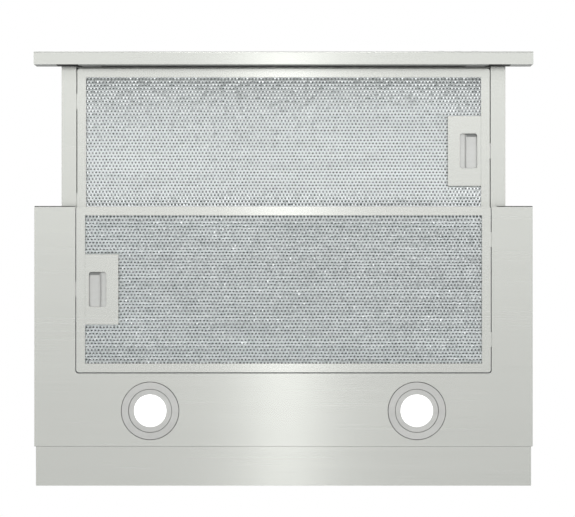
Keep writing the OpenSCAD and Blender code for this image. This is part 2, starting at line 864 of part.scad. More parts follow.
// Lamp bezel: flange under the panel, barrel through it and a shelf for the lens
module lamp_bezel() {
    barrel_h = 8;
    shelf_low = 0.6;
    shelf_top = 2.2;
    groove_w = 0.6;
    groove_h = 0.9;
    snap_w = 10;
    from_below() translate([lamp_x, lamp_y, 0]) {
        rotate_extrude($fn = 96) polygon([
            [lamp_step_r, -lamp_drop],
            [lamp_r - 0.4, -lamp_drop],
            [lamp_r, -lamp_drop + 0.4],
            [lamp_r, 0],
            [lamp_barrel_r, 0],
            [lamp_barrel_r, barrel_h],
            [lamp_barrel_r - 1.5, barrel_h],
            [lamp_barrel_r - 1.5, shelf_top],
            [lens_r + 0.2, shelf_top],
            [lens_r + 0.2, shelf_low],
            [lamp_step_r - groove_w, shelf_low],
            [lamp_step_r - groove_w, shelf_low + groove_h],
            [lamp_step_r, shelf_low + groove_h]
        ]);
        for (turn = [90, 210, 330])
            rotate([0, 0, turn])
                block(
                    [lamp_barrel_r - 1, -snap_w / 2, sheet + 0.05],
                    [lamp_barrel_r + 1.8, snap_w / 2, sheet + 1.5]
                );
    }
}

// Lens: a shallow dome with a rim that rests on the bezel's shelf
module lamp_lens() {
    rim_z = 2.2;
    from_below() translate([lamp_x, lamp_y, 0]) rotate_extrude($fn = 96) polygon([
        [0, -0.6],
        [lens_r * 0.5, -0.5],
        [lens_r * 0.85, -0.15],
        [lens_r, 0.3],
        [lens_r, rim_z],
        [lens_r + 3, rim_z],
        [lens_r + 3, rim_z + 1.2],
        [0, rim_z + 1.2]
    ]);
}

// Light module: a finned disc behind the lens
module led_module() {
    base_z = 3.4;
    module_r = lamp_barrel_r - 2.5;
    from_below() translate([lamp_x, lamp_y, base_z]) difference() {
        cylinder(r = module_r, h = 7, $fn = 96);
        for (x = [-20 : 8 : 20])
            block([x - 1.5, -module_r, 3], [x + 1.5, module_r, 7 + cut]);
    }
}

module right_lamp_bezel() { color("#bfc2c0") lamp_bezel(); }
module right_lamp_lens() { color("#ffffff") lamp_lens(); }
module led_modules() { color(zinc) both_sides() led_module(); }
module left_lamp_bezel() { color("#bfc2c0") mirror([1, 0, 0]) lamp_bezel(); }
module left_lamp_lens() { color("#ffffff") mirror([1, 0, 0]) lamp_lens(); }

// Fixed rails: lipped channels on the housing's side walls
module fixed_rails() {
    color(zinc) from_below() both_sides() difference() {
        block(
            [wall_in_x - rail_depth, rail_start_y, rail_mid_z - rail_half_h],
            [wall_in_x, rail_end_y, rail_mid_z + rail_half_h]
        );
        block(
            [wall_in_x - rail_depth + rail_t, rail_start_y - cut, rail_mid_z - rail_inner_half],
            [wall_in_x - rail_t, rail_end_y + cut, rail_mid_z + rail_inner_half]
        );
        block(
            [wall_in_x - rail_depth - cut, rail_start_y - cut, rail_mid_z - rail_mouth_half],
            [wall_in_x, rail_end_y + cut, rail_mid_z + rail_mouth_half]
        );
    }
}

// Web and bar of the moving rail, inside the fixed rail
module moving_rail_bar() {
    end_y = moving_rail_start + moving_rail_l;
    block(
        [drawer_wall_x, moving_rail_start, rail_mid_z - rail_web_half],
        [rail_bar_x + rail_bar_t, end_y, rail_mid_z + rail_web_half]
    );
    block(
        [rail_bar_x, moving_rail_start, rail_mid_z - rail_bar_half],
        [rail_bar_x + rail_bar_t, end_y, rail_mid_z + rail_bar_half]
    );
}

// Moving rails: a foot on the drawer's side wall carries the bar
module moving_rails() {
    color("#c3c6c8") pulled_out() both_sides() {
        moving_rail_bar();
        block(
            [drawer_wall_x, moving_rail_start, rail_mid_z - rail_bar_half],
            [drawer_wall_x + rail_t, drawer_d - 2, rail_mid_z + rail_bar_half]
        );
    }
}

// Glide shoes: plastic blocks on the moving rails, two on each side
module glide_shoes() {
    shoe_half_h = rail_inner_half - glide_run;
    first_y = moving_rail_start + 2;
    last_y = moving_rail_start + moving_rail_l - glide_l - 2;
    color(plastic_white) pulled_out() both_sides()
        for (y = [first_y, last_y])
            difference() {
                block(
                    [rail_bar_x - 1.5, y, rail_mid_z - shoe_half_h],
                    [wall_in_x - rail_t - glide_run, y + glide_l, rail_mid_z + shoe_half_h]
                );
                moving_rail_bar();
            }
}

module drawer_sensor() {
    color("#26282a") from_below() block(
        [sensor_x - 8, drawer_d + 1.5, drawer_top - 6],
        [sensor_x + 8, drawer_d + 13, housing_h - sheet]
    );
}

module drawer_magnet() {
    color("#6c7074") pulled_out() block(
        [sensor_x - 6, drawer_d - 9, drawer_top - sheet - 6],
        [sensor_x + 6, drawer_d - 1, drawer_top - sheet]
    );
}

// Drawer frame: front wall, side walls with ledge and shelf, and the rear sill
module drawer_frame() {
    shelf_z = drawer_lift + filter_t + 0.3;
    wall_low = drawer_lift;
    wall_high = drawer_top;
    color(steel) pulled_out() difference() {
        union() {
            block(
                [-drawer_wall_x, front_wall_y, rib_low],
                [drawer_wall_x, front_wall_y + sheet, wall_high]
            );
            both_sides() {
                block([drawer_wall_x - sheet, front_wall_y, wall_low], [drawer_wall_x, drawer_d, wall_high]);
                block([drawer_ledge_x, front_wall_y, wall_low], [drawer_wall_x, drawer_d, wall_low + sheet]);
                block([drawer_wall_x - shelf_w, 4, shelf_z], [drawer_wall_x, drawer_d, shelf_z + sheet]);
            }
            block([-drawer_wall_x, sill_y, wall_low], [drawer_wall_x, drawer_d, wall_low + sheet]);
            block([-drawer_wall_x, drawer_d - sheet, wall_low], [drawer_wall_x, drawer_d, shelf_z + sheet]);
        }
        fascia_screw_spots() translate([0, 0, -fascia_screw_l - cut])
            cylinder(r = fascia_screw_r + 0.05, h = sheet + 2 * cut, $fn = 24);
    }
}

// Drawer cover: the top sheet, with a lip down inside each side wall
module drawer_cover() {
    in_x = drawer_wall_x - sheet;
    lip_h = 8;
    color(steel) pulled_out() difference() {
        block([-in_x, front_wall_y + sheet, drawer_top - lip_h], [in_x, drawer_d, drawer_top]);
        block(
            [-in_x + sheet, front_wall_y, drawer_top - lip_h - cut],
            [in_x - sheet, drawer_d + cut, drawer_top - sheet]
        );
    }
}

// Fascia shell: a folded sheet, open at the back and closed at both ends
module fascia_shell() {
    depth = fascia_d + fascia_back;
    color(steel) pulled_out() difference() {
        translate([-hood_w / 2, fascia_back + cut, fascia_bottom])
            fascia_profile(hood_w, depth + cut, fascia_h, fascia_bend_r);
        translate([-hood_w / 2 + sheet, fascia_back + 2 * cut, fascia_bottom + sheet])
            fascia_profile(
                hood_w - 2 * sheet,
                depth - sheet + 2 * cut,
                fascia_h - 2 * sheet,
                fascia_bend_r - sheet / 2
            );
        block([-hood_w, fascia_back, fascia_bottom - cut], [hood_w, fascia_back + 4 * cut, fascia_top + cut]);
        button_spots() translate([0, 0, -sheet - cut])
            cylinder(r = button_r + 0.3, h = 2 * sheet + 2 * cut, $fn = 48);
    }
}

// A bar along X with round front edges, its back at y = 0 and its foot at z = 0
module fascia_profile(w, d, h, r) {
    rotate([90, 0, 90]) linear_extrude(w) {
        translate([-d + r, 0]) square([d - r, h]);
        translate([-d, r]) square([d, h - 2 * r]);
        for (z = [r, h - r])
            translate([-d + r, z]) circle(r, $fn = 32);
    }
}

// The four push buttons, along +Y from the fascia's front face
module button_spot(index) {
    translate([button_row_x + index * button_pitch, -fascia_d, button_z]) rotate([-90, 0, 0]) children();
}

module button_spots() {
    for (index = [0 : 3]) button_spot(index) children();
}

// Fascia carrier: a plate flush with the shell's back, a foot along its bottom and a rib to the drawer.
// Between the buffers its lower part is set forward, so that the drawer's bracket feet have room.
module fascia_carrier() {
    bottom = fascia_bottom + sheet;
    top = fascia_top - sheet;
    rib_half_w = drawer_wall_x - 2;
    notch_half = fascia_bracket_w / 2 + 0.4;
    foot_t = 1.5;
    color("#a9aba9") pulled_out() difference() {
        union() {
            block([-carrier_half_w, carrier_front, bottom], [carrier_half_w, fascia_back, top]);
            block(
                [-carrier_half_w, -fascia_d + sheet + fascia_bend_r, bottom],
                [carrier_half_w, carrier_front, bottom + foot_t]
            );
            block([-rib_half_w, carrier_front, rib_low], [rib_half_w, front_wall_y, top]);
        }
        block(
            [buffer_w - buffer_outer_x, fascia_back - carrier_recess, bottom - cut],
            [buffer_outer_x - buffer_w, fascia_back + cut, drawer_lift]
        );
        both_sides() block(
            [fascia_bracket_x - notch_half, fascia_back, drawer_lift - cut],
            [fascia_bracket_x + notch_half, front_wall_y + cut, top + cut]
        );
        fascia_screw_spots() translate([0, 0, -fascia_screw_l])
            cylinder(r = fascia_screw_r + 0.3, h = fascia_screw_l + cut, $fn = 24);
    }
}

// Fascia brackets: small angles between the carrier's back and the drawer's front wall
module fascia_brackets() {
    left = fascia_bracket_x - fascia_bracket_w / 2;
    right = fascia_bracket_x + fascia_bracket_w / 2;
    foot_t = 1.2;
    leg_t = 0.5;
    color("#e6e7e3") pulled_out() both_sides() {
        block(
            [left, fascia_back - carrier_recess, fascia_bracket_foot],
            [right, front_wall_y, fascia_bracket_foot + foot_t]
        );
        block(
            [left, front_wall_y - leg_t, fascia_bracket_foot],
            [right, front_wall_y, fascia_bracket_top]
        );
    }
}

// Closing buffers: thin rubber pads on the carrier's back, toward the housing's front edge
module closing_buffers() {
    color("#1e2022") pulled_out() both_sides() block(
        [buffer_outer_x - buffer_w, fascia_back, fascia_bottom + sheet + 0.3],
        [buffer_outer_x, fascia_back + buffer_t, drawer_lift - 0.4]
    );
}

// Four screws through the carrier's rib into the drawer's front wall, along +Y
module fascia_screw_spots() {
    for (x = [-1, -0.34, 0.34, 1])
        translate([x * (drawer_wall_x - 14), carrier_front, rib_low + 2]) rotate([90, 0, 0]) children();
}

module fascia_screws() {
    color("#8f9396") pulled_out() fascia_screw_spots() screw(fascia_screw_r, fascia_screw_l);
}

// Switch block: the switches behind the four push buttons
module switch_block() {
    color("#26282a") pulled_out() block(
        [button_row_x - switch_margin, switch_front, button_z - switch_half_h],
        [button_row_x + 3 * button_pitch + switch_margin, carrier_front, button_z + switch_half_h]
    );
}

// Push button: a round cap with a collar behind the fascia's skin
module push_button(index) {
    dish_r = 14;
    collar_start = button_stand_out + sheet + 0.3;
    stem_end = fascia_d + switch_front + button_stand_out - button_travel - 0.3;
    color("#c9cbca") pulled_out() button_spot(index) translate([0, 0, -button_stand_out]) difference() {
        union() {
            cylinder(r = button_r, h = collar_start + 1, $fn = 48);
            translate([0, 0, collar_start]) cylinder(r = button_r + 1.5, h = 1.2, $fn = 48);
            cylinder(r = button_r * 0.5, h = stem_end, $fn = 32);
        }
        translate([0, 0, -dish_r + 0.4]) sphere(dish_r, $fn = 96);
    }
}

module light_button() { push_button(0); }
module low_button() { push_button(1); }
module medium_button() { push_button(2); }
module high_button() { push_button(3); }

// Filter frame: a ring of folded channel, with two tabs and the tongue's slot
module filter_frame() {
    tab_w = 18;
    tab_reach = 6;
    groove_depth = bar_w - 3;
    difference() {
        union() {
            difference() {
                translate([0, -filter_d / 2, 0]) linear_extrude(filter_t) round_rect(filter_l, filter_d, 3);
                translate([0, 0, filter_t / 2])
                    cube([filter_l - 2 * bar_w, filter_d - 2 * bar_w, filter_t + 2 * cut], center = true);
                translate([0, 0, filter_t / 2]) cube([
                    filter_l - 2 * bar_w + 2 * groove_depth,
                    filter_d - 2 * bar_w + 2 * groove_depth,
                    filter_t - 2 * bar_t
                ], center = true);
            }
            for (y = [-60, 60])
                block(
                    [filter_l / 2 - 1, y - tab_w / 2, tongue_z],
                    [filter_l / 2 + tab_reach, y + tab_w / 2, tongue_z + bar_t]
                );
        }
        block(
            [-filter_l / 2 - cut, -tongue_half - 0.5, tongue_z - 0.3],
            [-filter_l / 2 + bar_w + cut, tongue_half + 0.5, tongue_z + tongue_t + 0.3]
        );
    }
}

// Filter mesh: the pad of expanded sheets, cut away round the latch
module filter_mesh() {
    pad_lap = 4;
    difference() {
        cube_at_middle(
            filter_l - 2 * bar_w + 2 * pad_lap,
            filter_d - 2 * bar_w + 2 * pad_lap,
            bar_t,
            filter_t - bar_t
        );
        block(
            [-filter_l / 2, -latch_l / 2 - 0.3, 0],
            [-filter_l / 2 + latch_in + latch_w + 0.3, latch_l / 2 + 0.3, filter_t]
        );
    }
}

// Block centred in x and y, between two heights
module cube_at_middle(w, d, low, high) {
    block([-w / 2, -d / 2, low], [w / 2, d / 2, high]);
}

// Latch housing: the plate with the finger slot, and the closed box above it
module latch_housing() {
    end_x = -filter_l / 2;
    near = end_x + latch_in;
    far = near + latch_w;
    top = filter_t - bar_t;
    slot_r = 3;
    difference() {
        block([near, -latch_l / 2, 0], [far, latch_l / 2, top]);
        block(
            [near + latch_wall, -latch_l / 2 + latch_wall, latch_wall],
            [far - latch_wall, latch_l / 2 - latch_wall, top - latch_wall]
        );
        translate([end_x + (slot_near + slot_far) / 2, -finger_slot_l / 2, -cut])
            linear_extrude(latch_wall + 2 * cut)
                round_rect(slot_far - slot_near, finger_slot_l, slot_r);
        block(
            [near - cut, -tongue_half - 0.5, tongue_z - 0.3],
            [near + latch_wall + cut, tongue_half + 0.5, slide_floor_z + slide_t + 0.3]
        );
    }
}

// Latch slide: floor of the finger slot, finger lip, and tongue through the frame
module latch_slide() {
    half_l = finger_slot_l / 2 + slide_lap;
    web_x = latch_in + latch_wall + 0.3;
    floor_top = slide_floor_z + slide_t;
    translate([-filter_l / 2, 0, 0]) {
        block([web_x, -half_l, slide_floor_z], [slide_end_x, half_l, floor_top]);
        block(
            [lip_x, -finger_slot_l / 2 + 1.5, 0.3],
            [lip_x + lip_t, finger_slot_l / 2 - 1.5, slide_floor_z]
        );
        block([web_x, -tongue_half, tongue_z], [web_x + 1.5, tongue_half, floor_top]);
        block([-tongue_reach, -tongue_half, tongue_z], [web_x + 1.5, tongue_half, tongue_z + tongue_t]);
    }
}

// Latch spring: a folded strip between the slide and the housing's inner wall
module latch_spring() {
    start_x = -filter_l / 2 + slide_end_x + 0.1;
    end_x = -filter_l / 2 + latch_in + latch_w - latch_wall - 0.1;
    folds = 6;
    half_l = 9;
    strip = 0.5;
    pitch = (end_x - start_x - strip) / folds;
    translate([0, 0, slide_floor_z - 0.6]) linear_extrude(slide_t + 1)
        for (index = [0 : folds]) {
            side = index % 2 == 0 ? -1 : 1;
            x = start_x + index * pitch;
            low_x = side < 0 ? x : x + pitch;
            high_x = side < 0 ? x + pitch : x;
            if (index < folds)
                polygon([
                    [low_x, -half_l],
                    [low_x + strip, -half_l],
                    [high_x + strip, half_l],
                    [high_x, half_l]
                ]);
            translate([x, side * (half_l - strip / 2) - strip]) square([strip, 2 * strip]);
        }
}

module body_filter_frame() { color(steel) body_filter_place() filter_frame(); }
module body_filter_mesh() { color("#b9bcc0") body_filter_place() filter_mesh(); }
module body_latch_housing() { color(steel) body_filter_place() latch_housing(); }
module body_latch_slide() { color(zinc) body_filter_place() latch_slide(); }
module body_latch_spring() { color("#8f9396") body_filter_place() latch_spring(); }
module drawer_filter_frame() { color(steel) drawer_filter_place() filter_frame(); }
module drawer_filter_mesh() { color("#b9bcc0") drawer_filter_place() filter_mesh(); }
module drawer_latch_housing() { color(steel) drawer_filter_place() latch_housing(); }
module drawer_latch_slide() { color(zinc) drawer_filter_place() latch_slide(); }
module drawer_latch_spring() { color("#8f9396") drawer_filter_place() latch_spring(); }

lower_housing();
bottom_panel();
filter_seat();
rear_spacer();
motor_box();
top_plate();
left_cabinet_bracket();
right_cabinet_bracket();
housing_screws();
duct_collar();
front_flap();
rear_flap();
left_scroll();
right_scroll();
blower_screws();
left_inlet_grille();
motor_bracket();
motor_rubber_mounts();
motor();
motor_shaft();
impeller();
electronics_box();
electronics_lid();
control_board();
capacitor();
terminal_block();
led_driver();
cable_gland();
left_lamp_bezel();
left_lamp_lens();
right_lamp_bezel();
right_lamp_lens();
led_modules();
fixed_rails();
moving_rails();
glide_shoes();
drawer_sensor();
drawer_magnet();
drawer_frame();
drawer_cover();
fascia_shell();
fascia_carrier();
fascia_brackets();
closing_buffers();
fascia_screws();
switch_block();
light_button();
low_button();
medium_button();
high_button();
body_filter_frame();
body_filter_mesh();
body_latch_housing();
body_latch_slide();
body_latch_spring();
drawer_filter_frame();
drawer_filter_mesh();
drawer_latch_housing();
drawer_latch_slide();
drawer_latch_spring();
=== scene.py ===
import json
import math

import bpy
import numpy as np
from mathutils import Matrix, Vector

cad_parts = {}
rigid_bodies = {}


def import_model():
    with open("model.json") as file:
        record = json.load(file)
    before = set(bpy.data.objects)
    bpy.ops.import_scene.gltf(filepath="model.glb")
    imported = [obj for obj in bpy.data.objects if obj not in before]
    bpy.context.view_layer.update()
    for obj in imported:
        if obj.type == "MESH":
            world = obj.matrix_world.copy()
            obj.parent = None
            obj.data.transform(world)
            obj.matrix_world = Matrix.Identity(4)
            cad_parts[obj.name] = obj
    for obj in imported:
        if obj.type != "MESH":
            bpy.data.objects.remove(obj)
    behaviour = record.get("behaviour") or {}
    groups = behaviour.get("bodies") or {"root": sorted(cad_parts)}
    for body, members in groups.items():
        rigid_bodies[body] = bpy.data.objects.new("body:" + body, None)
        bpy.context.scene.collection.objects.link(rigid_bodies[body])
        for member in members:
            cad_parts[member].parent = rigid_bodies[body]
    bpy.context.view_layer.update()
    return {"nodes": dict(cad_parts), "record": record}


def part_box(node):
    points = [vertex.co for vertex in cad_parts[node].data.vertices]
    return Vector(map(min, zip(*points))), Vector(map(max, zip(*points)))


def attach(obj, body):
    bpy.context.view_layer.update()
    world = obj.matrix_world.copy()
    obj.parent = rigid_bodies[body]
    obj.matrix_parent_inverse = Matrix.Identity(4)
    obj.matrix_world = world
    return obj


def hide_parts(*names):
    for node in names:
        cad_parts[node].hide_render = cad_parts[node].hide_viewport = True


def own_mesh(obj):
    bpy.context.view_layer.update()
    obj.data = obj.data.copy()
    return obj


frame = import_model()
nodes = frame["nodes"]
slot_of = {part["node"]: part["material_slot"] for part in frame["record"]["subparts"]}
MM = 0.001


# Places read from the frame

housing_low, housing_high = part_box("lower_housing")
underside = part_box("bottom_panel")[0][2]
housing_centre_y = (housing_low[1] + housing_high[1]) / 2


# Camera: below the hood, looking straight up, the fascia at the top of the picture

PHOTO_W = 575
PHOTO_H = 517
HOUSING_LEFT_PX = 34.25
HOUSING_RIGHT_PX = 532.75
HOUSING_FRONT_PX = 206.0
CAMERA_DROP = 2.35
SENSOR_W = 36.0

metres_per_px = (housing_high[0] - housing_low[0]) / (HOUSING_RIGHT_PX - HOUSING_LEFT_PX)
camera_x = (PHOTO_W / 2 - (HOUSING_LEFT_PX + HOUSING_RIGHT_PX) / 2) * metres_per_px
camera_y = housing_low[1] + (PHOTO_H / 2 - HOUSING_FRONT_PX) * metres_per_px

camera_data = bpy.data.cameras.new("camera")
camera_data.sensor_width = SENSOR_W
camera_data.lens = SENSOR_W * CAMERA_DROP / (PHOTO_W * metres_per_px)
camera = bpy.data.objects.new("camera", camera_data)
camera.location = (camera_x, camera_y, underside - CAMERA_DROP)
camera.rotation_euler = (math.pi, 0, 0)
bpy.context.collection.objects.link(camera)
bpy.context.scene.camera = camera


# Material helpers

def add_node(tree, kind, inputs=None, **settings):
    """A new node with its settings and input values."""
    made = tree.nodes.new(kind)
    for key, value in settings.items():
        setattr(made, key, value)
    for key, value in (inputs or {}).items():
        made.inputs[key].default_value = value
    return made


def shade(colour, factor):
    """A colour scaled in brightness, with full alpha."""
    return tuple(min(1.0, channel * factor) for channel in colour[:3]) + (1.0,)


def new_material(name, metallic, roughness):
    """A material and its Principled shader."""
    made = bpy.data.materials.new(name)
    made.use_nodes = True
    shader = made.node_tree.nodes["Principled BSDF"]
    shader.inputs["Metallic"].default_value = metallic
    shader.inputs["Roughness"].default_value = roughness
    return made, made.node_tree, shader


def stretched_noise(tree, stretch, detail=3.0, roughness=0.55):
    """Noise in object space, drawn out along the axes where stretch is small."""
    place = add_node(tree, "ShaderNodeTexCoord")
    mapping = add_node(tree, "ShaderNodeMapping", {"Scale": stretch})
    noise = add_node(tree, "ShaderNodeTexNoise", {"Scale": 1.0, "Detail": detail, "Roughness": roughness})
    tree.links.new(place.outputs["Object"], mapping.inputs["Vector"])
    tree.links.new(mapping.outputs["Vector"], noise.inputs["Vector"])
    return noise.outputs["Fac"]


def two_tone(tree, factor, dark, light, low=0.35, high=0.65):
    """A colour ramp between two colours."""
    ramp = add_node(tree, "ShaderNodeValToRGB")
    ramp.color_ramp.elements[0].position = low
    ramp.color_ramp.elements[0].color = dark
    ramp.color_ramp.elements[1].position = high
    ramp.color_ramp.elements[1].color = light
    tree.links.new(factor, ramp.inputs["Fac"])
    return ramp.outputs["Color"]


def mixed(tree, factor, first, second):
    """Two colours mixed by a factor."""
    mix = add_node(tree, "ShaderNodeMix", data_type="RGBA")
    if isinstance(factor, float):
        mix.inputs["Factor"].default_value = factor
    else:
        tree.links.new(factor, mix.inputs["Factor"])
    tree.links.new(first, mix.inputs["A"])
    tree.links.new(second, mix.inputs["B"])
    return mix.outputs["Result"]


def ranged(tree, factor, low, high):
    """A factor from 0 to 1 mapped to a range."""
    made = add_node(tree, "ShaderNodeMapRange", {"To Min": low, "To Max": high})
    tree.links.new(factor, made.inputs["Value"])
    return made.outputs["Result"]


def bumped(tree, shader, height, distance, strength):
    """Gives the shader a bump from a height."""
    bump = add_node(tree, "ShaderNodeBump", {"Distance": distance, "Strength": strength})
    tree.links.new(height, bump.inputs["Height"])
    tree.links.new(bump.outputs["Normal"], shader.inputs["Normal"])


def grain_across(tree, shader):
    """Stretches highlights across a grain that runs along X.

    The grain's direction is a little off X, so that faces square to X have a tangent too.
    """
    geometry = add_node(tree, "ShaderNodeNewGeometry")
    cross = add_node(tree, "ShaderNodeVectorMath", operation="CROSS_PRODUCT")
    cross.inputs[1].default_value = (1.0, 0.01, 0.0)
    tree.links.new(geometry.outputs["Normal"], cross.inputs[0])
    tree.links.new(cross.outputs["Vector"], shader.inputs["Tangent"])


def bend_factor(tree):
    """0 on faces square to Y or Z and 1 halfway round a bend between them."""
    geometry = add_node(tree, "ShaderNodeNewGeometry")
    parts = add_node(tree, "ShaderNodeSeparateXYZ")
    product = add_node(tree, "ShaderNodeMath", operation="MULTIPLY")
    size = add_node(tree, "ShaderNodeMath", operation="ABSOLUTE")
    doubled = add_node(tree, "ShaderNodeMath", {1: 2.0}, operation="MULTIPLY", use_clamp=True)
    tree.links.new(geometry.outputs["Normal"], parts.inputs["Vector"])
    tree.links.new(parts.outputs["Y"], product.inputs[0])
    tree.links.new(parts.outputs["Z"], product.inputs[1])
    tree.links.new(product.outputs["Value"], size.inputs[0])
    tree.links.new(size.outputs["Value"], doubled.inputs[0])
    return doubled.outputs["Value"]


# Materials, one function for each kind of surface

def brushed(name, colour, roughness=0.268, anisotropy=0.93, rubbed=None):
    """Sheet steel brushed along the hood's width, with a lighter colour painted on its bends as a
    highlight.
    """
    made, tree, shader = new_material(name, metallic=1.0, roughness=roughness)
    fine = stretched_noise(tree, (4.0, 900.0, 900.0), detail=4.0)
    broad = stretched_noise(tree, (2.0, 60.0, 60.0), detail=2.0)
    cloud = stretched_noise(tree, (5.0, 7.0, 7.0), detail=2.0)
    grain = mixed(tree, 0.4, two_tone(tree, fine, shade(colour, 0.965), shade(colour, 1.025)),
                  two_tone(tree, broad, shade(colour, 0.98), shade(colour, 1.02)))
    clouded = mixed(tree, 0.25, grain, two_tone(tree, cloud, shade(colour, 0.97), shade(colour, 1.02)))
    # Painted highlight: bends get a lighter colour where the lamps' highlight falls short on the rounded
    # edge.
    if rubbed:
        painted_bend_highlight = two_tone(tree, broad, shade(rubbed, 0.97), shade(rubbed, 1.03))
        clouded = mixed(tree, bend_factor(tree), clouded, painted_bend_highlight)
    tree.links.new(clouded, shader.inputs["Base Color"])
    tree.links.new(ranged(tree, fine, roughness - 0.015, roughness + 0.015), shader.inputs["Roughness"])
    shader.inputs["Anisotropic"].default_value = anisotropy
    grain_across(tree, shader)
    return made


def zinc_sheet(name, colour):
    """Zinc-coated sheet with faint spangles."""
    made, tree, shader = new_material(name, metallic=0.9, roughness=0.42)
    place = add_node(tree, "ShaderNodeTexCoord")
    spangle = add_node(tree, "ShaderNodeTexVoronoi", {"Scale": 90.0, "Randomness": 1.0})
    tree.links.new(place.outputs["Object"], spangle.inputs["Vector"])
    tone = add_node(tree, "ShaderNodeSeparateColor")
    tree.links.new(spangle.outputs["Color"], tone.inputs["Color"])
    patches = two_tone(tree, tone.outputs["Red"], shade(colour, 0.93), shade(colour, 1.06),
                       low=0.0, high=1.0)
    cloud = stretched_noise(tree, (9.0, 9.0, 9.0))
    smear = two_tone(tree, cloud, shade(colour, 0.9), shade(colour, 1.06))
    tree.links.new(mixed(tree, 0.5, patches, smear), shader.inputs["Base Color"])
    tree.links.new(ranged(tree, tone.outputs["Green"], low=0.39, high=0.47), shader.inputs["Roughness"])
    return made


def satin_metal(name, colour, metallic=0.9, roughness=0.36, grain=60.0):
    """Plain satin metal with a faint rolled grain and small marks."""
    made, tree, shader = new_material(name, metallic, roughness)
    rolled = stretched_noise(tree, (grain / 8, grain, grain))
    marks = stretched_noise(tree, (220.0, 220.0, 220.0), detail=5.0, roughness=0.7)
    base = mixed(tree, 0.35, two_tone(tree, rolled, shade(colour, 0.94), shade(colour, 1.05)),
                 two_tone(tree, marks, shade(colour, 0.9), shade(colour, 1.04)))
    tree.links.new(base, shader.inputs["Base Color"])
    tree.links.new(ranged(tree, marks, roughness - 0.05, roughness + 0.07), shader.inputs["Roughness"])
    bumped(tree, shader, marks, distance=0.00004, strength=0.15)
    return made


def moulded(name, colour, roughness=0.5, texture=900.0):
    """Moulded plastic with a fine eroded texture."""
    made, tree, shader = new_material(name, metallic=0.0, roughness=roughness)
    pores = stretched_noise(tree, (texture, texture, texture), detail=2.0)
    cloud = stretched_noise(tree, (30.0, 30.0, 30.0))
    base = mixed(tree, 0.4, two_tone(tree, pores, shade(colour, 0.88), shade(colour, 1.1)),
                 two_tone(tree, cloud, shade(colour, 0.93), shade(colour, 1.06)))
    tree.links.new(base, shader.inputs["Base Color"])
    tree.links.new(ranged(tree, pores, roughness - 0.05, roughness + 0.08), shader.inputs["Roughness"])
    bumped(tree, shader, pores, distance=0.0001, strength=0.25)
    return made


LENS_GLOW = 0.9


def lit_lens(name):
    """Frosted lens, lit from behind."""
    made, tree, shader = new_material(name, metallic=0.0, roughness=0.4)
    frost = stretched_noise(tree, (500.0, 500.0, 500.0))
    white = two_tone(tree, frost, (0.9, 0.9, 0.9, 1.0), (1.0, 1.0, 1.0, 1.0))
    tree.links.new(white, shader.inputs["Base Color"])
    tree.links.new(white, shader.inputs["Emission Color"])
    shader.inputs["Emission Strength"].default_value = LENS_GLOW
    return made


def circuit_board(name):
    """Green lacquer over copper tracks."""
    made, tree, shader = new_material(name, metallic=0.0, roughness=0.35)
    place = add_node(tree, "ShaderNodeTexCoord")
    tracks = add_node(tree, "ShaderNodeTexBrick", {"Scale": 260.0, "Mortar Size": 0.03,
                      "Color1": (0.03, 0.2, 0.09, 1), "Color2": (0.05, 0.26, 0.12, 1),
                      "Mortar": (0.16, 0.42, 0.18, 1)})
    tree.links.new(place.outputs["Object"], tracks.inputs["Vector"])
    tree.links.new(tracks.outputs["Color"], shader.inputs["Base Color"])
    return made


STEEL = (0.476, 0.484, 0.458)
looks = {
    "brushed_steel": brushed("brushed_steel", STEEL),
    # The fascia's steel: a darker copy of the brushed steel as painted shade, with a painted highlight on
    # its bends.
    "fascia_steel": brushed("fascia_steel", (0.457, 0.465, 0.440), rubbed=(0.66, 0.67, 0.64)),
    "carrier_grey": satin_metal("carrier_grey", (0.34, 0.35, 0.34), metallic=0.3, roughness=0.5),
    "zinc_sheet": zinc_sheet("zinc_sheet", (0.48, 0.50, 0.51)),
    "filter_mesh": satin_metal("filter_mesh", (0.865, 0.895, 0.897), metallic=0.8, roughness=0.36),
    "filter_frame": brushed("filter_frame", (0.486, 0.494, 0.468)),
    "latch_slide": satin_metal("latch_slide", (0.541, 0.546, 0.53), metallic=0.8, roughness=0.42),
    # Painted light: the carrier's grey made lighter for the fascia's brackets, which lie in shade behind
    # the fascia.
    "bracket_metal": satin_metal("bracket_metal", (0.62, 0.63, 0.62), metallic=0.3, roughness=0.5),
    "lamp_bezel": satin_metal("lamp_bezel", (0.545, 0.548, 0.531), metallic=0.8, roughness=0.4),
    "lamp_lens": lit_lens("lamp_lens"),
    "light_plastic": moulded("light_plastic", (0.72, 0.72, 0.69)),
    "dark_plastic": moulded("dark_plastic", (0.045, 0.048, 0.052)),
    "black_rubber": moulded("black_rubber", (0.02, 0.02, 0.022), roughness=0.75, texture=400.0),
    "screw_steel": satin_metal("screw_steel", (0.50, 0.51, 0.52), metallic=1.0, roughness=0.3, grain=200.0),
    "motor_metal": satin_metal("motor_metal", (0.48, 0.49, 0.50), metallic=0.9, roughness=0.45, grain=30.0),
    "board_green": circuit_board("board_green"),
    "button_metal": satin_metal("button_metal", (0.55, 0.56, 0.55), metallic=0.9, roughness=0.32),
}


# CAD nodes keep their shape, get their finish, and have their edges broken a little

WELD_DISTANCE = 1e-6
EDGE_ANGLE = math.radians(40)

# Width of the broken edge in millimetres, by material
EDGE_BREAK = {
    "brushed_steel": 0.15, "carrier_grey": 0.5, "zinc_sheet": 0.3, "filter_frame": 0.35,
    "lamp_bezel": 0.25, "light_plastic": 0.6, "dark_plastic": 0.3, "button_metal": 0.3,
}

# Nodes whose look differs from their material slot's
OWN_LOOK = {
    "body_latch_slide": "latch_slide",
    "drawer_latch_slide": "latch_slide",
    "fascia_brackets": "bracket_metal",
    "fascia_shell": "fascia_steel",
}


